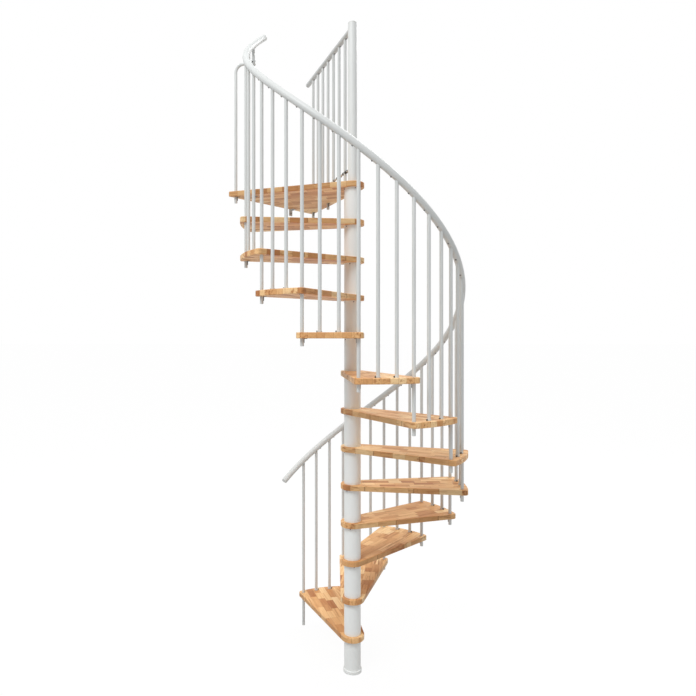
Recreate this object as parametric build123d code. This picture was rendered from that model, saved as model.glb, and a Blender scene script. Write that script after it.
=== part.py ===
from build123d import *

import os
from math import acos, asin, atan, cos, degrees, pi, radians, sin

os.makedirs("parts", exist_ok=True)

# Spiral staircase: winder treads and spacers threaded on a central pole, clockwise going up.
# Millimetres and degrees. +Z is up, the origin is the centre of the foot on the lower floor.

# Stair layout
STAIR_DIAMETER = 1400.0
TREAD_COUNT = 12
BALUSTERS_PER_TREAD = 3
RISE = 234.6
TURN_ANGLE = 26.19
FIRST_NOSING_ANGLE = 122.2

# Wooden treads
TREAD_THICKNESS = 32.0
TREAD_LIP = 22.0
TREAD_CORNER_RADIUS = 22.0
COLLAR_DIAMETER = 147.0
EDGE_EASE = 2.5

# Column
FOOT_DIAMETER = 114.5
FOOT_HEIGHT = 20.0
FOOT_EASE = 2.0
SPACER_DIAMETER = 104.0
SPACER_WALL = 4.0
POLE_DIAMETER = 57.0
POLE_WALL = 4.0
POLE_ABOVE_RAIL = 25.0
POLE_CAP_HEIGHT = 12.0
POLE_CAP_ROUND = 9.0

# Balusters
BALUSTER_DIAMETER = 20.0
BALUSTER_INSET = 35.4
STUB_LENGTH = 40.0

# Handrail
HANDRAIL_DIAMETER = 40.0
HANDRAIL_HEIGHT = 960.3
HANDRAIL_LEAD_ANGLE = 14.0
HANDRAIL_TAIL_ANGLE = 13.2
RAIL_CAP_LENGTH = 9.0
RAIL_CAP_ROUND = 7.0

# Landing
LANDING_OVERHANG = 19.0
LANDING_FRONT_ANGLE = 2.1
LANDING_FACE_ANGLE = 30.6
LANDING_SPAN_ANGLE = 58.5
LANDING_CORNER_RADIUS = 9.0
NEWEL_INSET = 25.0
NEWEL_DROP = 117.3
NEWEL_BEND_RADIUS = 50.0

# Straight guard along the landing's far side
GUARD_ANGLE = 55.2
GUARD_BALUSTERS = 7
GUARD_FIRST = 122.0
GUARD_INSET = 44.0
GUARD_RAIL_DIAMETER = 34.0
GUARD_RAIL_LIFT = 12.0
GUARD_RAIL_OVERHANG = 124.4
GUARD_ROD_DIAMETER = 12.0
GUARD_ROD_HEIGHT = 98.0
GUARD_LONG_BALUSTERS = (3, 6)

# Angle bracket that ties the landing's outer edge to the upper floor
BRACKET_WIDTH = 28.0
BRACKET_LEG = 46.0
BRACKET_FLANGE = 44.0
BRACKET_THICKNESS = 6.0
BRACKET_ALONG = 145.0

# Fits
HOLE_GAP = 0.3
SEAT_GAP = 0.3
OVERRUN = 50.0

# Places worked out from the driving dimensions
tread_radius = STAIR_DIAMETER / 2
baluster_radius = BALUSTER_DIAMETER / 2
handrail_radius = HANDRAIL_DIAMETER / 2
collar_radius = COLLAR_DIAMETER / 2
baluster_circle = tread_radius - BALUSTER_INSET
landing_reach = tread_radius + LANDING_OVERHANG
baluster_angle_step = TURN_ANGLE / BALUSTERS_PER_TREAD
landing_top = (TREAD_COUNT + 1) * RISE
landing_under = landing_top - TREAD_THICKNESS
landing_nosing_angle = FIRST_NOSING_ANGLE - TREAD_COUNT * TURN_ANGLE
landing_front = landing_nosing_angle + LANDING_FRONT_ANGLE
landing_face = landing_front - LANDING_FACE_ANGLE
landing_back = landing_front - LANDING_SPAN_ANGLE
newel_circle = (landing_reach - NEWEL_INSET) / cos(radians(landing_nosing_angle - landing_face))
guard_direction = landing_nosing_angle - GUARD_ANGLE
guard_last = (landing_reach - GUARD_INSET) / cos(radians(guard_direction - landing_face))
guard_spacing = (guard_last - GUARD_FIRST) / (GUARD_BALUSTERS - 1)
guard_rail_end = guard_last + GUARD_RAIL_OVERHANG
guard_rail_level = landing_top + HANDRAIL_HEIGHT + GUARD_RAIL_LIFT
helix_pitch = RISE * 360 / TURN_ANGLE
helix_slope = degrees(atan(helix_pitch / (2 * pi * baluster_circle)))


def heading(angle):
    """Level unit vector in a direction from +X."""
    return Vector(cos(radians(angle)), sin(radians(angle)), 0)


def polar(radius, angle, height=0.0):
    """Point at a radius from the stair's axis, in a direction from +X."""
    return heading(angle) * radius + Vector(0, 0, height)


def tread_top(number):
    return number * RISE


def nosing_angle(number):
    """Direction of the baluster at the front edge of a tread."""
    return FIRST_NOSING_ANGLE - (number - 1) * TURN_ANGLE


def handrail_centre(angle):
    """Height of the handrail's centre line over a direction."""
    return RISE + HANDRAIL_HEIGHT + (FIRST_NOSING_ANGLE - angle) / TURN_ANGLE * RISE


def handrail_plane(angle):
    """Plane across the handrail, its normal pointing uphill."""
    level = cos(radians(helix_slope))
    uphill = (level * sin(radians(angle)), -level * cos(radians(angle)), sin(radians(helix_slope)))
    centre = polar(baluster_circle, angle, handrail_centre(angle))
    return Plane(origin=centre, z_dir=uphill)


def upright(place, low, high, radius):
    """Plain round bar between two heights."""
    return Pos(place.X, place.Y, low) * Cylinder(
        radius, high - low, align=(Align.CENTER, Align.CENTER, Align.MIN)
    )


def ring(outer, inner, low, high):
    axis = Vector(0, 0, 0)
    return upright(axis, low, high, outer) - upright(axis, low - OVERRUN, high + OVERRUN, inner)


def board(outline, corner_radius):
    """Wooden plate of the treads' thickness, with its two outer corners round and its edges eased."""
    face = make_face(outline)
    outer_corners = face.vertices().sort_by_distance((0, 0, 0))[-2:]
    plate = extrude(fillet(outer_corners, corner_radius), TREAD_THICKNESS)
    rims = plate.edges().group_by(Axis.Z)
    return chamfer(rims[0] + rims[-1], EDGE_EASE)


def drilled(plate, places):
    """Plate bored for the pole and for the balusters that pass through it."""
    top = TREAD_THICKNESS + OVERRUN
    plate -= upright(Vector(0, 0, 0), -OVERRUN, top, POLE_DIAMETER / 2 + HOLE_GAP)
    for place in places:
        plate -= upright(place, -OVERRUN, top, baluster_radius + HOLE_GAP)
    return plate


def winder():
    """Tread along +X: a collar round the pole, straight sides tangent to it and a round outer edge."""
    lip_angle = degrees(asin(TREAD_LIP / baluster_circle))
    half = TURN_ANGLE / 2 + lip_angle
    touch = half + degrees(acos(collar_radius / tread_radius))
    front = polar(tread_radius, half)
    back = polar(tread_radius, -half)
    outline = [
        ThreePointArc(back, polar(tread_radius, 0), front),
        Line(front, polar(collar_radius, touch)),
        ThreePointArc(polar(collar_radius, touch), polar(collar_radius, 180), polar(collar_radius, -touch)),
        Line(polar(collar_radius, -touch), back),
    ]
    holes = [polar(baluster_circle, side * TURN_ANGLE / 2) for side in (1, -1)]
    return drilled(board(outline, TREAD_CORNER_RADIUS), holes)


def guard_place(index):
    return polar(GUARD_FIRST + index * guard_spacing, guard_direction)


def landing_board():
    """Last step: the same collar, and a straight outer edge along the upper floor."""
    front_radius = landing_reach / cos(radians(LANDING_FACE_ANGLE))
    back_radius = landing_reach / cos(radians(LANDING_SPAN_ANGLE - LANDING_FACE_ANGLE))
    front = polar(front_radius, landing_front)
    back = polar(back_radius, landing_back)
    front_touch = polar(collar_radius, landing_front + degrees(acos(collar_radius / front_radius)))
    back_touch = polar(collar_radius, landing_back - degrees(acos(collar_radius / back_radius)))
    outline = [
        Line(front, back),
        Line(back, back_touch),
        ThreePointArc(back_touch, polar(collar_radius, landing_face + 180), front_touch),
        Line(front_touch, front),
    ]
    holes = [
        polar(baluster_circle, landing_nosing_angle),
        polar(newel_circle, landing_nosing_angle),
    ]
    holes += [guard_place(index) for index in GUARD_LONG_BALUSTERS]
    return drilled(board(outline, LANDING_CORNER_RADIUS), holes)


def baluster(angle, foot):
    """Round bar from its foot to the handrail, its top cut to the handrail's underside."""
    bar = upright(polar(baluster_circle, angle), foot, handrail_centre(angle), baluster_radius)
    return bar - handrail_plane(angle) * Cylinder(handrail_radius + SEAT_GAP, OVERRUN * 2)


def nosing_baluster(number):
    """Long bar through the front of a tread and the back of the one below it, or down to the floor."""
    foot = tread_top(number - 1) - TREAD_THICKNESS - STUB_LENGTH
    return baluster(nosing_angle(number), max(foot, 0))


def tread_balusters(number):
    bars = [nosing_baluster(number)]
    for step in range(1, BALUSTERS_PER_TREAD):
        bars.append(baluster(nosing_angle(number) - step * baluster_angle_step, tread_top(number)))
    return Compound(children=bars)


def handrail():
    """Round tube on a helix over the balusters."""
    start = FIRST_NOSING_ANGLE + HANDRAIL_LEAD_ANGLE
    end = landing_nosing_angle - HANDRAIL_TAIL_ANGLE
    low = handrail_centre(start)
    path = Helix(helix_pitch, handrail_centre(end) - low, baluster_circle, lefthand=True)
    path = Pos(0, 0, low) * Rot(0, 0, start) * path
    tube = sweep(handrail_plane(start) * Circle(handrail_radius), path=path, is_frenet=True)
    return tube, handrail_plane(start), handrail_plane(end)


def end_cap(radius, length, rounding):
    """Domed plug that closes a tube's end, standing on its end face."""
    cap = Cylinder(radius, length, align=(Align.CENTER, Align.CENTER, Align.MIN))
    return fillet(cap.edges().sort_by(Axis.Z)[-1], rounding)


def landing_newel():
    """Front bar of the landing, and the outer post that bends in to meet it."""
    front_bar = nosing_baluster(TREAD_COUNT + 1)
    low = landing_under - STUB_LENGTH
    top = handrail_centre(landing_nosing_angle) - NEWEL_DROP
    post = polar(newel_circle, landing_nosing_angle)
    bar = polar(baluster_circle, landing_nosing_angle)
    route = FilletPolyline(
        (post.X, post.Y, low), (post.X, post.Y, top), (bar.X, bar.Y, top), radius=NEWEL_BEND_RADIUS
    )
    tube = sweep(Plane(origin=(post.X, post.Y, low)) * Circle(baluster_radius), path=route)
    tube -= upright(bar, top - OVERRUN, top + OVERRUN, baluster_radius + SEAT_GAP)
    return Compound(children=[front_bar, tube])


def guard():
    """Straight panel from the pole: rail, bars and a lower rod, welded together."""
    rod_height = landing_top + GUARD_ROD_HEIGHT
    outward = heading(guard_direction)
    align = (Align.CENTER, Align.CENTER, Align.MIN)
    panel = Plane(origin=(0, 0, guard_rail_level), z_dir=outward) * Cylinder(
        GUARD_RAIL_DIAMETER / 2, guard_rail_end, align=align
    )
    panel += Plane(origin=(0, 0, rod_height), z_dir=outward) * Cylinder(
        GUARD_ROD_DIAMETER / 2, guard_last, align=align
    )
    for index in range(GUARD_BALUSTERS):
        foot = landing_under - STUB_LENGTH if index in GUARD_LONG_BALUSTERS else landing_top
        panel += upright(guard_place(index), foot, guard_rail_level, baluster_radius)
    pole_seat = upright(Vector(0, 0, 0), landing_top, guard_rail_level + OVERRUN, POLE_DIAMETER / 2 + SEAT_GAP)
    return panel - pole_seat


def bracket():
    """Angle under the landing, its outer leg flush with the landing's straight edge."""
    leg = Box(BRACKET_THICKNESS, BRACKET_WIDTH, BRACKET_LEG, align=(Align.MAX, Align.CENTER, Align.MAX))
    flange = Box(BRACKET_FLANGE, BRACKET_WIDTH, BRACKET_THICKNESS, align=(Align.MAX, Align.CENTER, Align.MAX))
    place = Rot(0, 0, landing_face) * Pos(landing_reach, -BRACKET_ALONG, landing_under)
    return place * (leg + flange)


def save(node, shape):
    export_step(shape, f"parts/{node}.step")


# Column
pole_top = guard_rail_level + POLE_ABOVE_RAIL
foot = upright(Vector(0, 0, 0), 0, FOOT_HEIGHT, FOOT_DIAMETER / 2)
save("foot_ring", chamfer(foot.edges().group_by(Axis.Z)[-1], FOOT_EASE))
save("central_pole", ring(POLE_DIAMETER / 2, POLE_DIAMETER / 2 - POLE_WALL, FOOT_HEIGHT, pole_top))
for number in range(1, TREAD_COUNT + 2):
    low = max(tread_top(number - 1), FOOT_HEIGHT)
    spacer = ring(
        SPACER_DIAMETER / 2, SPACER_DIAMETER / 2 - SPACER_WALL, low, tread_top(number) - TREAD_THICKNESS
    )
    save(f"spacer_{number:02d}", spacer)

# Treads and landing
tread = winder()
for number in range(1, TREAD_COUNT + 1):
    turned = Rot(0, 0, nosing_angle(number) - TURN_ANGLE / 2) * tread
    save(f"tread_{number:02d}", Pos(0, 0, tread_top(number) - TREAD_THICKNESS) * turned)
save("landing", Pos(0, 0, landing_under) * landing_board())
save("landing_bracket", bracket())

# Railing
for number in range(1, TREAD_COUNT + 1):
    save(f"balusters_{number:02d}", tread_balusters(number))
save("landing_newel", landing_newel())
save("landing_guard", guard())
rail, rail_start, rail_end = handrail()
save("handrail", rail)

# Domed plugs in the open tube ends
rail_plug = end_cap(handrail_radius, RAIL_CAP_LENGTH, RAIL_CAP_ROUND)
guard_end = polar(guard_rail_end, guard_direction, guard_rail_level)
caps = [
    Pos(0, 0, pole_top) * end_cap(POLE_DIAMETER / 2, POLE_CAP_HEIGHT, POLE_CAP_ROUND),
    Plane(origin=rail_start.origin, z_dir=-rail_start.z_dir) * rail_plug,
    rail_end * rail_plug,
    Plane(origin=guard_end, z_dir=heading(guard_direction))
    * end_cap(GUARD_RAIL_DIAMETER / 2, RAIL_CAP_LENGTH, RAIL_CAP_ROUND),
]
save("end_caps", Compound(children=caps))
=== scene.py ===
from math import acos, atan2, cos, degrees, pi, radians, sin

import bmesh
import bpy
from mathutils import Matrix, Vector


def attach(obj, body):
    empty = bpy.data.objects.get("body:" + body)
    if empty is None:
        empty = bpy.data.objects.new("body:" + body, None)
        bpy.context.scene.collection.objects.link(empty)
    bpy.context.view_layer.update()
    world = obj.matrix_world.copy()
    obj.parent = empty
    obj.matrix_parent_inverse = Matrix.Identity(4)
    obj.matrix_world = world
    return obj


# Looks of the spiral staircase, in the part's own frame. Lengths are in metres and angles in degrees.
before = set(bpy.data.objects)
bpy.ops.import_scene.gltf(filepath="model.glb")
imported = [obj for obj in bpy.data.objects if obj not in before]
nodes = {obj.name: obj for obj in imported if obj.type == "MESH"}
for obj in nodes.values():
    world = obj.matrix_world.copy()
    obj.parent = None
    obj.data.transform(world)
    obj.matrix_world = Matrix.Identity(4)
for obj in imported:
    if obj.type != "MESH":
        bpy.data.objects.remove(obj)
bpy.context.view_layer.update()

# Layout repeated from the part's source
TREAD_COUNT = 12
BALUSTERS_PER_TREAD = 3
RISE = 0.2346
TURN = 26.19
FIRST_NOSING = 122.2
TREAD_THICKNESS = 0.032
COLLAR_RADIUS = 0.0735
SPACER_RADIUS = 0.052
POLE_RADIUS = 0.0285
BALUSTER_RADIUS = 0.010
BALUSTER_CIRCLE = 0.6646
STUB_LENGTH = 0.040
HANDRAIL_RADIUS = 0.020
HANDRAIL_HEIGHT = 0.9603
LANDING_REACH = 0.719
LANDING_FRONT = 170.02
LANDING_FACE = 139.42
NEWEL_INSET = 0.025
NEWEL_DROP = 0.1173
GUARD_DIRECTION = 112.72
GUARD_BALUSTERS = 7
GUARD_LONG_BALUSTERS = (3, 6)
GUARD_FIRST = 0.122
GUARD_INSET = 0.044
GUARD_RAIL_RADIUS = 0.017
GUARD_RAIL_LIFT = 0.012
GUARD_ROD_RADIUS = 0.006
GUARD_ROD_HEIGHT = 0.098
BRACKET_ALONG = 0.145
BRACKET_LEG = 0.046
BRACKET_FLANGE = 0.044
BRACKET_THICKNESS = 0.006

# Camera fitted to the photograph. Its turn is in radians and its sensor in millimetres.
CAMERA_DISTANCE = 3.6989
CAMERA_HEIGHT = 2.0827
CAMERA_TURN = 0.0757
FOCAL_PIXELS = 588.8
AXIS_PIXEL = (307.8, 337.8)
PICTURE_PIXELS = 696
SENSOR_WIDTH = 36.0

# Small fittings
FOOT_COLLAR_RADIUS = 0.0125
FOOT_COLLAR_HEIGHT = 0.009
FOOT_COLLAR_EASE = 0.0012
FOOT_SCREW_RADIUS = 0.0042
FOOT_SCREW_LENGTH = 0.0050
GRUB_RADIUS = 0.0032
GRUB_LENGTH = 0.0015
GRUB_BELOW_TREAD = 0.008
GRUB_TURNS = (45, 135, 225, 315)
SOCKET_SHARE = 0.5
SOCKET_EASE_SHARE = 0.2
CLIP_HEIGHT = 0.024
CLIP_WIDTH = 0.009
CLIP_THICKNESS = 0.003
CLIP_BEND = 0.0048
CLIP_FLANGE = 0.018
STUB_CAP_HEIGHT = 0.0015
STUB_CAP_EASE = 0.0010
RAIL_SCREW_RADIUS = 0.0048
RAIL_SCREW_HEIGHT = 0.0045
RAIL_SCREW_ALONG = 0.020
CLAMP_RADIUS = 0.0150
CLAMP_HEIGHT = 0.030
CLAMP_SCREW_RADIUS = 0.00416
CLAMP_SCREW_LENGTH = 0.0030
# Black sleeves on the guard's rod: partly a real fitting, partly painted shade of the rod's underside
ROD_SLEEVE_RADIUS = 0.0095
ROD_SLEEVE_LENGTH = 0.066
ROD_SLEEVES = 2
ROD_COLLAR_LENGTH = 0.040
ROD_CLIP_RADIUS = 0.0085
ROD_CLIP_LENGTH = 0.020
SLEEVE_EASE_SHARE = 1 / 3
BOLT_RADIUS = 0.0065
BOLT_HEIGHT = 0.0045
BOLT_SHARE = 0.62
HEX_SIDES = 6
ROUND_SIDES = 20
SMOOTH_ANGLE = 40

# Shares of a domed head's radius and height from its rim to its crown, and how deep its foot is sunk
DOME_SHARES = ((1.0, 0.35), (0.85, 0.75), (0.5, 0.95))
DOME_SUNK_SHARE = 0.25


def polar(radius, angle, height=0.0):
    return Vector((radius * cos(radians(angle)), radius * sin(radians(angle)), height))


def uphill(angle):
    """Level direction in which the stair climbs."""
    return Vector((sin(radians(angle)), -cos(radians(angle)), 0))


def nosing(number):
    return FIRST_NOSING - (number - 1) * TURN


def tread_axis(number):
    return nosing(number) - TURN / 2


def rail_centre(angle):
    """Height of the handrail's centre line over a direction."""
    return RISE + HANDRAIL_HEIGHT + (FIRST_NOSING - angle) / TURN * RISE


def guard_bar(index):
    """Distance of one of the guard's bars from the stair's axis."""
    return GUARD_FIRST + index * guard_spacing


def turned_to(direction, place):
    """Matrix that stands local +Z along a direction at a place."""
    return Matrix.Translation(place) @ Vector(direction).to_track_quat("Z", "Y").to_matrix().to_4x4()


# Places worked out from the layout. The landing counts as one more step after the treads.
tread_numbers = range(1, TREAD_COUNT + 1)
step_numbers = range(1, TREAD_COUNT + 2)
downwards = Vector((0, 0, -1))
baluster_step = TURN / BALUSTERS_PER_TREAD
helix_climb = RISE / (radians(TURN) * BALUSTER_CIRCLE)
landing_top = (TREAD_COUNT + 1) * RISE
landing_under = landing_top - TREAD_THICKNESS
landing_nosing = FIRST_NOSING - TREAD_COUNT * TURN
landing_corner = LANDING_REACH / cos(radians(LANDING_FRONT - LANDING_FACE))
landing_edge = LANDING_FRONT + degrees(acos(COLLAR_RADIUS / landing_corner)) - 90
newel_circle = (LANDING_REACH - NEWEL_INSET) / cos(radians(landing_nosing - LANDING_FACE))
guard_heading = polar(1, GUARD_DIRECTION)
guard_last = (LANDING_REACH - GUARD_INSET) / cos(radians(GUARD_DIRECTION - LANDING_FACE))
guard_spacing = (guard_last - GUARD_FIRST) / (GUARD_BALUSTERS - 1)
guard_rail_level = landing_top + HANDRAIL_HEIGHT + GUARD_RAIL_LIFT
rod_level = landing_top + GUARD_ROD_HEIGHT


def srgb(red, green, blue):
    """Linear colour of an sRGB one in 0 to 255."""
    def linear(value):
        value /= 255
        return value / 12.92 if value <= 0.04045 else ((value + 0.055) / 1.055) ** 2.4
    return (linear(red), linear(green), linear(blue), 1.0)


def grey(level):
    return (level, level, level, 1)


class Shader:
    """Short hand for building the nodes of a material or of the world."""

    def __init__(self, owner):
        owner.use_nodes = True
        self.owner = owner
        self.tree = owner.node_tree
        self.tree.nodes.clear()

    def add(self, kind, **inputs):
        node = self.tree.nodes.new(kind)
        for name, value in inputs.items():
            self.plug(node.inputs[name.replace("_", " ")], value)
        return node

    def plug(self, socket, value):
        if isinstance(value, bpy.types.NodeSocket):
            self.tree.links.new(value, socket)
        else:
            socket.default_value = value

    def coordinates(self):
        return self.add("ShaderNodeTexCoord").outputs

    def math(self, operation, *values):
        node = self.add("ShaderNodeMath")
        node.operation = operation
        for socket, value in zip(node.inputs, values):
            self.plug(socket, value)
        return node.outputs[0]

    def ease(self, value, band, result):
        """Smooth change from the first result to the second, over a band of values."""
        node = self.add(
            "ShaderNodeMapRange",
            Value=value,
            From_Min=band[0],
            From_Max=band[1],
            To_Min=result[0],
            To_Max=result[1],
        )
        node.interpolation_type = "SMOOTHSTEP"
        return node.outputs["Result"]

    def noise(self, vector, scale, detail, roughness):
        return self.add(
            "ShaderNodeTexNoise", Vector=vector, Scale=scale, Detail=detail, Roughness=roughness
        ).outputs["Fac"]

    def random(self, *values):
        """Three random numbers for a set of whole ones."""
        node = self.add("ShaderNodeTexWhiteNoise", Vector=self.vector(*values))
        node.noise_dimensions = "3D"
        return self.split(node.outputs["Color"])

    def vector(self, x, y, z):
        return self.add("ShaderNodeCombineXYZ", X=x, Y=y, Z=z).outputs[0]

    def split(self, vector):
        return self.add("ShaderNodeSeparateXYZ", Vector=vector).outputs

    def ramp(self, value, stops):
        node = self.add("ShaderNodeValToRGB", Fac=value)
        elements = node.color_ramp.elements
        while len(elements) < len(stops):
            elements.new(1.0)
        for element, (position, colour) in zip(elements, stops):
            element.position = position
            element.color = colour
        return node.outputs["Color"]

    def mix(self, blend, factor, first, second):
        """Blend of two colours. The node's sockets share their names, so they are taken by number."""
        node = self.add("ShaderNodeMix")
        node.data_type = "RGBA"
        node.blend_type = blend
        self.plug(node.inputs[0], factor)
        self.plug(node.inputs[6], first)
        self.plug(node.inputs[7], second)
        return node.outputs[2]

    def bump(self, height, strength, distance):
        return self.add("ShaderNodeBump", Height=height, Strength=strength, Distance=distance).outputs[0]

    def seen(self):
        """One on rays from the camera and on mirrored or refracted ones, nought on the rest."""
        path = self.add("ShaderNodeLightPath").outputs
        mirrored = self.math("MAXIMUM", path["Is Glossy Ray"], path["Is Transmission Ray"])
        return self.math("MAXIMUM", path["Is Camera Ray"], mirrored)

    def between(self, share, first, second):
        """Shader with a share of the second and the rest of the first."""
        node = self.add("ShaderNodeMixShader")
        for socket, value in zip(node.inputs, (share, first.outputs[0], second.outputs[0])):
            self.plug(socket, value)
        return node

    def finish(self, shader, output="ShaderNodeOutputMaterial"):
        self.add(output, Surface=shader.outputs[0])
        return self.owner

    def finish_principled(self, **inputs):
        return self.finish(self.add("ShaderNodeBsdfPrincipled", **inputs))


def new_material(name):
    return Shader(bpy.data.materials.new(name))


# Wood. In all materials a noise is scale, detail and roughness, and a band the lowest and highest value.
STAVE_WIDTH = 0.046
STAVE_SHORT = 0.07
STAVE_LONG = 0.20
STAVE_SHIFT = 5.0
ROWS_BETWEEN_PANELS = 3.37
FINGER_PITCH = 0.0075
FINGER_DEPTH = 0.004
JOINT_WIDTH = 0.0010
JOINT_STRENGTH = 0.7
JOINT_SHADE = srgb(150, 96, 56)
# Painted light: treads whose whole panels are made paler to stand in for more light on their tops, and by
# how much
PAINTED_LIGHT_TREADS = (3, 4, 6, 7, 8, 9)
PAINTED_LIGHT_LIFT = 0.22
WOOD_TONES = (
    (0.00, srgb(184, 122, 74)),
    (0.12, srgb(207, 149, 95)),
    (0.48, srgb(229, 177, 120)),
    (0.80, srgb(246, 202, 145)),
    (1.00, srgb(254, 220, 168)),
)
GRAIN_SHADE = srgb(176, 112, 64)
GRAIN_ALONG = 5.0
GRAIN_ACROSS = 70.0
GRAIN_SCATTER = 40.0
GRAIN_NOISE = (1.0, 5.0, 0.62)
GRAIN_BAND = (0.44, 0.66)
FIGURE_BAND = (0.35, 0.95)
FIGURE_STRENGTH = (0.30, 0.95)
PORE_ALONG = 40.0
PORE_ACROSS = 700.0
PORE_NOISE = (1.0, 2.0, 0.5)
PORE_BAND = (0.55, 0.75)
PORE_STRENGTH = 0.16
PORE_DEPTH_SHARE = 0.5
FLAME_NOISE = (9.0, 3.0, 0.5)
FLAME_TONES = ((0.3, grey(0.35)), (0.7, grey(0.65)))
FLAME_STRENGTH = 0.25
# Painted shade on the long side faces of a panel: the band of their facing, and how dark
EDGE_BAND = (0.6, 0.95)
LONG_SIDE_PAINTED_SHADE = 0.18
WOOD_ROUGHNESS_BAND = (0.3, 0.8)
WOOD_ROUGHNESS = (0.46, 0.60)
WOOD_SPECULAR = 0.3
WOOD_BUMP = 0.15
WOOD_RELIEF = 0.0004

# White coats
DRIFT_NOISE = (2.5, 3.0, 0.55)
DRIFT_BAND = (0.30, 0.70)
PEEL_NOISE = (420.0, 2.0, 0.5)
PEEL_BAND = (0.3, 0.7)
PEEL_ROUGHNESS = 0.05
PEEL_RELIEF = 0.0003
COAT_PEEL = 0.025
PLASTIC_PEEL = 0.02
COLUMN_ROUGHNESS = 0.42
RAILING_ROUGHNESS = 0.40
PLASTIC_ROUGHNESS = 0.48

# Steel of the fittings
SKIN_NOISE = (180.0, 4.0, 0.6)
SKIN_TONE_BAND = (0.25, 0.75)
SKIN_ROUGHNESS_BAND = (0.2, 0.8)
SKIN_ROUGHNESS = (0.38, 0.60)
SKIN_BUMP = 0.12
SKIN_RELIEF = 0.0003
SKIN_METALLIC = 0.4


def wood(name, direction, seed, lift=0.0):
    """Varnished panel of finger-jointed staves that run in a direction; a lift makes the panel paler, as
    painted light.
    """
    s = new_material(name)
    coordinates = s.coordinates()
    back = (0, 0, -radians(direction))
    turned = s.add("ShaderNodeMapping", Vector=coordinates["Object"], Rotation=back).outputs[0]
    facing = s.add("ShaderNodeMapping", Vector=coordinates["Normal"], Rotation=back).outputs[0]
    x, y, z = s.split(turned)

    # Rows side by side, each cut into staves of its own length that meet in fingers
    across = s.math("ADD", s.math("DIVIDE", y, STAVE_WIDTH), seed * ROWS_BETWEEN_PANELS)
    row = s.math("FLOOR", across)
    length_random, shift_random, _ = s.random(row, float(seed), 0.0)
    length = s.math("ADD", s.math("MULTIPLY", length_random, STAVE_LONG - STAVE_SHORT), STAVE_SHORT)
    finger = s.math("MULTIPLY", s.math("PINGPONG", y, FINGER_PITCH / 2), 2 * FINGER_DEPTH / FINGER_PITCH)
    shifted = s.math("ADD", s.math("ADD", x, finger), s.math("MULTIPLY", shift_random, STAVE_SHIFT))
    along = s.math("DIVIDE", shifted, length)
    stave = s.math("FLOOR", along)
    tone_random, place_random, figure_random = s.random(row, stave, float(seed))
    tone = s.ramp(s.math("ADD", s.math("MULTIPLY", tone_random, 1 - lift), lift), WOOD_TONES)

    # Grain and pores drawn out along the staves, and a broad flame over the panel
    scatter_along = s.math("MULTIPLY", place_random, GRAIN_SCATTER)
    scatter_across = s.math("MULTIPLY", figure_random, GRAIN_SCATTER)
    grain_place = s.vector(
        s.math("ADD", s.math("MULTIPLY", x, GRAIN_ALONG), scatter_along),
        s.math("ADD", s.math("MULTIPLY", y, GRAIN_ACROSS), scatter_across),
        s.math("MULTIPLY", z, GRAIN_ACROSS),
    )
    grain = s.noise(grain_place, *GRAIN_NOISE)
    pore_place = s.vector(
        s.math("MULTIPLY", x, PORE_ALONG),
        s.math("MULTIPLY", y, PORE_ACROSS),
        s.math("MULTIPLY", z, PORE_ACROSS),
    )
    pores = s.noise(pore_place, *PORE_NOISE)
    flame = s.noise(turned, *FLAME_NOISE)
    figure = s.ease(figure_random, FIGURE_BAND, FIGURE_STRENGTH)
    streaks = s.math("MULTIPLY", s.ease(grain, GRAIN_BAND, (0.0, 1.0)), figure)
    colour = s.mix("MIX", streaks, tone, GRAIN_SHADE)
    colour = s.mix("MULTIPLY", s.ease(pores, PORE_BAND, (0.0, PORE_STRENGTH)), colour, GRAIN_SHADE)
    colour = s.mix("SOFT_LIGHT", FLAME_STRENGTH, colour, s.ramp(flame, FLAME_TONES))

    # Thin joints round each stave, and painted shade on the panel's long sides
    side = s.math("MULTIPLY", s.math("PINGPONG", across, 0.5), STAVE_WIDTH)
    end = s.math("MULTIPLY", s.math("PINGPONG", along, 0.5), length)
    joint = s.ease(s.math("MINIMUM", side, end), (0.0, JOINT_WIDTH), (JOINT_STRENGTH, 0.0))
    colour = s.mix("MIX", joint, colour, JOINT_SHADE)
    # Painted shade: faces that look across the staves are darkened
    long_side_painted_shade = s.ease(s.math("ABSOLUTE", s.split(facing)[1]), EDGE_BAND, (0.0, LONG_SIDE_PAINTED_SHADE))
    colour = s.mix("MULTIPLY", long_side_painted_shade, colour, grey(0))

    height = s.math("SUBTRACT", s.math("MULTIPLY", pores, PORE_DEPTH_SHARE), joint)
    return s.finish_principled(
        Base_Color=colour,
        Roughness=s.ease(grain, WOOD_ROUGHNESS_BAND, WOOD_ROUGHNESS),
        Normal=s.bump(height, WOOD_BUMP, WOOD_RELIEF),
        Specular_IOR_Level=WOOD_SPECULAR,
    )


def coated(name, light, dark, roughness, peel=COAT_PEEL):
    """White coat: fine orange peel, and a tone that drifts a little."""
    s = new_material(name)
    place = s.coordinates()["Object"]
    drift = s.noise(place, *DRIFT_NOISE)
    peel_height = s.noise(place, *PEEL_NOISE)
    peel_roughness = (roughness - PEEL_ROUGHNESS, roughness + PEEL_ROUGHNESS)
    return s.finish_principled(
        Base_Color=s.ramp(drift, tuple(zip(DRIFT_BAND, (dark, light)))),
        Roughness=s.ease(peel_height, PEEL_BAND, peel_roughness),
        Normal=s.bump(peel_height, peel, PEEL_RELIEF),
    )


def steel(name, dark, light):
    """Bare finish of the metal fittings: a mottled oxide or zinc skin."""
    s = new_material(name)
    skin = s.noise(s.coordinates()["Object"], *SKIN_NOISE)
    return s.finish_principled(
        Base_Color=s.ramp(skin, tuple(zip(SKIN_TONE_BAND, (dark, light)))),
        Roughness=s.ease(skin, SKIN_ROUGHNESS_BAND, SKIN_ROUGHNESS),
        Normal=s.bump(skin, SKIN_BUMP, SKIN_RELIEF),
        Metallic=SKIN_METALLIC,
    )


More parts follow.
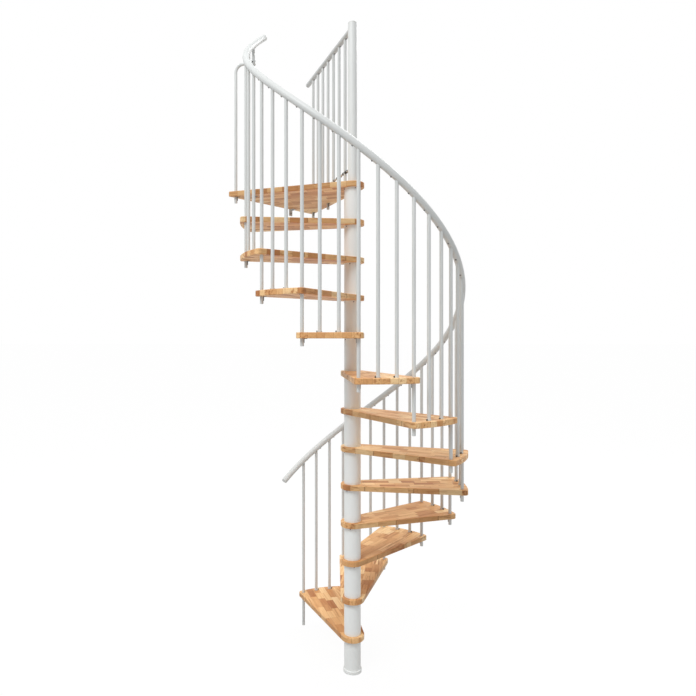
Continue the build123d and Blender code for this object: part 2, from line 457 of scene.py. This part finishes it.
class Fittings:
    """Many small turned or bent pieces joined in one mesh."""

    def __init__(self, name, material, slot):
        self.mesh = bmesh.new()
        self.name = name
        self.material = material
        self.slot = slot

    def ring(self, radius, height, place, sides):
        """Points of one turn at a radius, or the one point on the axis."""
        if radius == 0:
            return [self.mesh.verts.new(place @ Vector((0, 0, height)))]
        angles = [2 * pi * i / sides for i in range(sides)]
        points = [Vector((radius * cos(a), radius * sin(a), height)) for a in angles]
        return [self.mesh.verts.new(place @ point) for point in points]

    def turned(self, profile, place, sides=ROUND_SIDES):
        """Closed ring or plug: a profile of radius and height turned about local Z."""
        rings = [self.ring(radius, height, place, sides) for radius, height in profile]
        on_axis = profile[0][0] == 0
        following = rings[1:] if on_axis else rings[1:] + rings[:1]
        for low, high in zip(rings, following):
            for i in range(sides):
                j = i + 1
                quad = [low[i % len(low)], low[j % len(low)], high[j % len(high)], high[i % len(high)]]
                self.mesh.faces.new(list(dict.fromkeys(quad)))

    def bent(self, outline, width, place):
        """Strip of an outline in local XZ, extruded to a width along local Y."""
        sides = []
        for y in (-width / 2, width / 2):
            sides.append([self.mesh.verts.new(place @ Vector((x, y, z))) for x, z in outline])
        near, far = sides
        self.mesh.faces.new(near)
        self.mesh.faces.new(list(reversed(far)))
        for i in range(len(outline)):
            j = (i + 1) % len(outline)
            self.mesh.faces.new([near[j], near[i], far[i], far[j]])

    def done(self):
        bmesh.ops.recalc_face_normals(self.mesh, faces=self.mesh.faces)
        data = bpy.data.meshes.new(self.name)
        self.mesh.to_mesh(data)
        self.mesh.free()
        data.materials.append(self.material)
        data.polygons.foreach_set("use_smooth", [True] * len(data.polygons))
        data.set_sharp_from_angle(angle=radians(SMOOTH_ANGLE))
        piece = bpy.data.objects.new(self.name, data)
        bpy.context.scene.collection.objects.link(piece)
        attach(piece, "root")


# Coats with their light and dark tones, and steels with their dark and light ones
column_white = coated("column_white_coat", srgb(243, 246, 245), srgb(238, 241, 240), COLUMN_ROUGHNESS)
pole_white = coated("pole_white_coat", srgb(229, 232, 231), srgb(223, 226, 225), RAILING_ROUGHNESS)
railing_white = coated("railing_white_coat", srgb(218, 221, 220), srgb(211, 214, 213), RAILING_ROUGHNESS)
# The guard's coat is the railing white made darker: painted shade, for its rail and bars seen from below
# in shade
guard_painted_shade_white = coated("guard_painted_shade_coat", srgb(208, 211, 210), srgb(201, 204, 203), RAILING_ROUGHNESS)
handrail_white = coated("handrail_white_coat", srgb(219, 222, 221), srgb(212, 215, 214), RAILING_ROUGHNESS)
cap_white = coated(
    "cap_white_plastic", srgb(220, 222, 220), srgb(212, 214, 212), PLASTIC_ROUGHNESS, PLASTIC_PEEL
)
bracket_white = coated("bracket_white_coat", srgb(210, 210, 207), srgb(200, 200, 197), COLUMN_ROUGHNESS)
black_steel = steel("black_oxide_steel", srgb(34, 34, 35), srgb(70, 69, 67))
zinc_steel = steel("zinc_plated_steel", srgb(112, 112, 112), srgb(146, 146, 145))


def dress(names, material):
    for name in names:
        for slot in nodes[name].material_slots:
            slot.material = material


# Materials on the solids
for number in tread_numbers:
    # Painted light: chosen treads get paler wood in place of more light on their tops
    lift = PAINTED_LIGHT_LIFT if number in PAINTED_LIGHT_TREADS else 0.0
    dress([f"tread_{number:02d}"], wood(f"tread_wood_{number:02d}", tread_axis(number), number, lift))
dress(["landing"], wood("landing_wood", landing_edge, TREAD_COUNT + 1))
dress(["foot_ring"] + [f"spacer_{number:02d}" for number in step_numbers], column_white)
dress([f"balusters_{number:02d}" for number in tread_numbers] + ["landing_newel"], railing_white)
dress(["central_pole"], pole_white)
dress(["landing_guard"], guard_painted_shade_white)
dress(["handrail"], handrail_white)
dress(["end_caps"], cap_white)
dress(["landing_bracket"], bracket_white)

# Profiles of the turned fittings, as radius and height
FOOT_COLLAR = (
    (BALUSTER_RADIUS, 0),
    (FOOT_COLLAR_RADIUS, 0),
    (FOOT_COLLAR_RADIUS, FOOT_COLLAR_HEIGHT - FOOT_COLLAR_EASE),
    (FOOT_COLLAR_RADIUS - FOOT_COLLAR_EASE, FOOT_COLLAR_HEIGHT),
    (BALUSTER_RADIUS, FOOT_COLLAR_HEIGHT),
)
STUB_CAP = (
    (0, -STUB_CAP_HEIGHT),
    (BALUSTER_RADIUS - STUB_CAP_EASE, -STUB_CAP_HEIGHT),
    (BALUSTER_RADIUS, 0),
    (BALUSTER_RADIUS - STUB_CAP_EASE, STUB_CAP_HEIGHT),
    (0, STUB_CAP_HEIGHT),
)


def socket_head(radius, length):
    """Screw head with a recess in its end."""
    ease = radius * SOCKET_EASE_SHARE
    socket = radius * SOCKET_SHARE
    return (
        (0, length / 2),
        (socket, length / 2),
        (socket, length),
        (radius - ease, length),
        (radius, length - ease),
        (radius, -length / 2),
        (0, -length / 2),
    )


def dome(radius, height):
    """Domed head, its foot sunk below the surface it stands on."""
    foot = -height * DOME_SUNK_SHARE
    crown = [(radius * across, height * up) for across, up in DOME_SHARES]
    return [(0, foot), (radius, foot), *crown, (0, height)]


def sleeve(inner, outer, height):
    """Short ring centred on its place, with eased rims."""
    ease = (outer - inner) * SLEEVE_EASE_SHARE
    return (
        (inner, -height / 2),
        (outer - ease, -height / 2),
        (outer, ease - height / 2),
        (outer, height / 2 - ease),
        (outer - ease, height / 2),
        (inner, height / 2),
    )


# Collars at the feet of the short bars, with grub screws in those on the treads
collars = Fittings("foot_collars", cap_white, "cap_plastic")
foot_screws = Fittings("foot_screws", black_steel, "railing_white")
for number in tread_numbers:
    for step in range(1, BALUSTERS_PER_TREAD):
        angle = nosing(number) - step * baluster_step
        foot = polar(BALUSTER_CIRCLE, angle, number * RISE)
        collars.turned(FOOT_COLLAR, Matrix.Translation(foot))
        side = uphill(angle)
        place = foot + side * FOOT_COLLAR_RADIUS + Vector((0, 0, FOOT_COLLAR_HEIGHT / 2))
        foot_screws.turned(socket_head(FOOT_SCREW_RADIUS, FOOT_SCREW_LENGTH), turned_to(side, place))
for index in range(GUARD_BALUSTERS):
    if index not in GUARD_LONG_BALUSTERS:
        foot = polar(guard_bar(index), GUARD_DIRECTION, landing_top)
        collars.turned(FOOT_COLLAR, Matrix.Translation(foot))
collars.done()
foot_screws.done()

# Clips that hold the long bars under the wood, and plugs in the bars' lower ends
clips = Fittings("bar_clips", zinc_steel, "railing_white")
stub_caps = Fittings("stub_caps", cap_white, "cap_plastic")
CLIP_OUTLINE = (
    (0, 0),
    (CLIP_FLANGE, 0),
    (CLIP_FLANGE, -CLIP_THICKNESS),
    (CLIP_BEND, -CLIP_THICKNESS),
    (CLIP_THICKNESS, -CLIP_BEND),
    (CLIP_THICKNESS, -CLIP_HEIGHT),
    (0, -CLIP_HEIGHT),
)


def clip(centre, direction, level):
    """Angle clip against a bar, its flange under the wood."""
    place = Vector((centre.x, centre.y, level)) + direction * BALUSTER_RADIUS
    turn = Matrix.Rotation(atan2(direction.y, direction.x), 4, "Z")
    clips.bent(CLIP_OUTLINE, CLIP_WIDTH, Matrix.Translation(place) @ turn)


def stub_end(centre, level):
    """Plug in the lower end of a bar that goes through the wood at a level."""
    end = Vector((centre.x, centre.y, level - TREAD_THICKNESS - STUB_LENGTH))
    stub_caps.turned(STUB_CAP, turned_to(downwards, end))


for number in step_numbers:
    bar = polar(BALUSTER_CIRCLE, nosing(number))
    forward = uphill(nosing(number))
    inward = -polar(1, nosing(number))
    clip(bar, (forward + inward).normalized(), number * RISE - TREAD_THICKNESS)
    if number > 1:
        clip(bar, (inward - forward).normalized(), (number - 1) * RISE - TREAD_THICKNESS)
        stub_end(bar, (number - 1) * RISE)
newel = polar(newel_circle, landing_nosing)
clip(newel, -polar(1, landing_nosing), landing_under)
stub_end(newel, landing_top)
for index in GUARD_LONG_BALUSTERS:
    bar = guard_heading * guard_bar(index)
    clip(bar, -guard_heading, landing_under)
    stub_end(bar, landing_top)
clips.done()
stub_caps.done()

# Screws under the two rails, one beside each bar
rail_screws = Fittings("rail_screws", zinc_steel, "railing_white")
rail_screw = dome(RAIL_SCREW_RADIUS, RAIL_SCREW_HEIGHT)
for number in step_numbers:
    for step in range(BALUSTERS_PER_TREAD if number <= TREAD_COUNT else 1):
        angle = nosing(number) - step * baluster_step
        along = angle - degrees(RAIL_SCREW_ALONG / BALUSTER_CIRCLE)
        climb = (uphill(along) + Vector((0, 0, helix_climb))).normalized()
        below = climb.cross(polar(1, along)).normalized()
        if below.z > 0:
            below.negate()
        centre = polar(BALUSTER_CIRCLE, along, rail_centre(along))
        rail_screws.turned(rail_screw, turned_to(below, centre + below * HANDRAIL_RADIUS))
for index in range(GUARD_BALUSTERS):
    spot = guard_heading * (guard_bar(index) - RAIL_SCREW_ALONG)
    spot.z = guard_rail_level - GUARD_RAIL_RADIUS
    rail_screws.turned(rail_screw, turned_to(downwards, spot))
rail_screws.done()

# Grub screws in the spacers, under each tread and the landing
column_screws = Fittings("column_screws", black_steel, "column_white")
for number in step_numbers:
    for turn in GRUB_TURNS:
        heading = polar(1, tread_axis(number) + turn)
        place = heading * SPACER_RADIUS
        place.z = number * RISE - TREAD_THICKNESS - GRUB_BELOW_TREAD
        column_screws.turned(socket_head(GRUB_RADIUS, GRUB_LENGTH), turned_to(heading, place))
column_screws.done()

# Clamp where the newel meets the landing's front bar, and its screw
clamps = Fittings("rail_clamps", railing_white, "railing_white")
clamp_screws = Fittings("clamp_screws", black_steel, "railing_white")
newel_joint = polar(BALUSTER_CIRCLE, landing_nosing, rail_centre(landing_nosing) - NEWEL_DROP)
clamps.turned(sleeve(BALUSTER_RADIUS, CLAMP_RADIUS, CLAMP_HEIGHT), Matrix.Translation(newel_joint))
downhill = -uphill(landing_nosing)
clamp_screw_place = turned_to(downhill, newel_joint + downhill * CLAMP_RADIUS)
clamp_screws.turned(socket_head(CLAMP_SCREW_RADIUS, CLAMP_SCREW_LENGTH), clamp_screw_place)
clamps.done()
clamp_screws.done()

# Black sleeves, pole collar and clips on the guard's lower rod. The sleeves are partly a real fitting and
# partly painted shade of the rod's dark underside.
rod_sleeves_and_shade = Fittings("rod_sleeves_and_shade", black_steel, "railing_white")
rod_clips = Fittings("rod_clips", zinc_steel, "railing_white")


def on_rod(distance):
    return turned_to(guard_heading, guard_heading * distance + Vector((0, 0, rod_level)))


rod_sleeve = sleeve(GUARD_ROD_RADIUS, ROD_SLEEVE_RADIUS, ROD_SLEEVE_LENGTH)
for index in range(ROD_SLEEVES):
    rod_sleeves_and_shade.turned(rod_sleeve, on_rod(guard_bar(index)))
rod_sleeves_and_shade.done()
pole_collar = sleeve(GUARD_ROD_RADIUS, ROD_CLIP_RADIUS, ROD_COLLAR_LENGTH)
rod_clips.turned(pole_collar, on_rod(POLE_RADIUS + ROD_COLLAR_LENGTH / 2))
rod_clip = sleeve(GUARD_ROD_RADIUS, ROD_CLIP_RADIUS, ROD_CLIP_LENGTH)
for index in range(ROD_SLEEVES, GUARD_BALUSTERS):
    rod_clips.turned(rod_clip, on_rod(guard_bar(index) - BALUSTER_RADIUS - ROD_CLIP_LENGTH / 2))
rod_clips.done()

# Bolts of the bracket, one up into the landing and one through the outer leg
bracket_bolts = Fittings("bracket_bolts", zinc_steel, "bracket_steel")
bolt_head = dome(BOLT_RADIUS, BOLT_HEIGHT)
outward = polar(1, LANDING_FACE)
along_edge = Vector((outward.y, -outward.x, 0))
bracket_face = outward * LANDING_REACH + along_edge * BRACKET_ALONG
flange_bolt = bracket_face - outward * (BRACKET_FLANGE * BOLT_SHARE)
flange_bolt.z = landing_under - BRACKET_THICKNESS
bracket_bolts.turned(bolt_head, turned_to(downwards, flange_bolt), HEX_SIDES)
leg_bolt = bracket_face - outward * BRACKET_THICKNESS
leg_bolt.z = landing_under - BRACKET_LEG * BOLT_SHARE
bracket_bolts.turned(bolt_head, turned_to(-outward, leg_bolt), HEX_SIDES)
bracket_bolts.done()

# Stage and light
SKY_LEVEL = 0.10
SKY_ABOVE = 1.22
KEY_PLACE = (-4.0, -6.0, 9.5)
KEY_SIZE = 4.0
KEY_POWER = 490.0
FILL_PLACE = (3.2, 4.2, 8.0)
FILL_SIZE = 3.0
FILL_POWER = 205.0
FLOOR_SIZE = 400.0
FLOOR_TONE = 0.53
FLOOR_SEEN_TONE = 1.0
FLOOR_WHITE_SHARE = 0.96


def white_floor():
    """Floor that looks white with a faint shadow, and throws less light up than a white one."""
    s = new_material("floor_white")
    seen = s.seen()
    tone = s.math("ADD", s.math("MULTIPLY", seen, FLOOR_SEEN_TONE - FLOOR_TONE), FLOOR_TONE)
    matte = s.add("ShaderNodeBsdfDiffuse", Color=s.vector(tone, tone, tone))
    glow = s.add("ShaderNodeEmission", Color=grey(1), Strength=1.0)
    return s.finish(s.between(s.math("MULTIPLY", seen, FLOOR_WHITE_SHARE), matte, glow))


def studio_sky():
    """Light that grows from the horizon to straight above, and shows as plain white."""
    s = Shader(bpy.data.worlds.new("studio"))
    height = s.split(s.coordinates()["Generated"])["Z"]
    strength = s.add("ShaderNodeMapRange", Value=height, To_Min=SKY_LEVEL, To_Max=SKY_ABOVE)
    lit = s.add("ShaderNodeBackground", Color=grey(1), Strength=strength.outputs["Result"])
    shown = s.add("ShaderNodeBackground", Color=grey(1), Strength=1.0)
    return s.finish(s.between(s.seen(), lit, shown), "ShaderNodeOutputWorld")


def area_light(name, place, target, size, power):
    data = bpy.data.lights.new(name, "AREA")
    data.size = size
    data.energy = power
    lamp = bpy.data.objects.new(name, data)
    lamp.location = place
    lamp.rotation_euler = (Vector(target) - Vector(place)).to_track_quat("-Z", "Y").to_euler()
    bpy.context.scene.collection.objects.link(lamp)


half = FLOOR_SIZE / 2
floor_corners = [(-half, -half, 0), (half, -half, 0), (half, half, 0), (-half, half, 0)]
floor_mesh = bpy.data.meshes.new("floor")
floor_mesh.from_pydata(floor_corners, [], [(0, 1, 2, 3)])
floor_mesh.materials.append(white_floor())
floor = bpy.data.objects.new("floor", floor_mesh)
bpy.context.scene.collection.objects.link(floor)

bpy.context.scene.world = studio_sky()
middle = (0, 0, landing_top / 2)
area_light("key", KEY_PLACE, middle, KEY_SIZE, KEY_POWER)
area_light("fill", FILL_PLACE, middle, FILL_SIZE, FILL_POWER)

# Camera
camera_data = bpy.data.cameras.new("camera")
camera_data.sensor_width = SENSOR_WIDTH
camera_data.lens = FOCAL_PIXELS / PICTURE_PIXELS * SENSOR_WIDTH
camera_data.shift_x = 0.5 - AXIS_PIXEL[0] / PICTURE_PIXELS
camera_data.shift_y = AXIS_PIXEL[1] / PICTURE_PIXELS - 0.5
camera = bpy.data.objects.new("camera", camera_data)
camera.location = (0, -CAMERA_DISTANCE, CAMERA_HEIGHT)
camera.rotation_euler = (pi / 2, 0, CAMERA_TURN)
bpy.context.scene.collection.objects.link(camera)
bpy.context.scene.camera = camera
bpy.context.scene.view_settings.view_transform = "Standard"
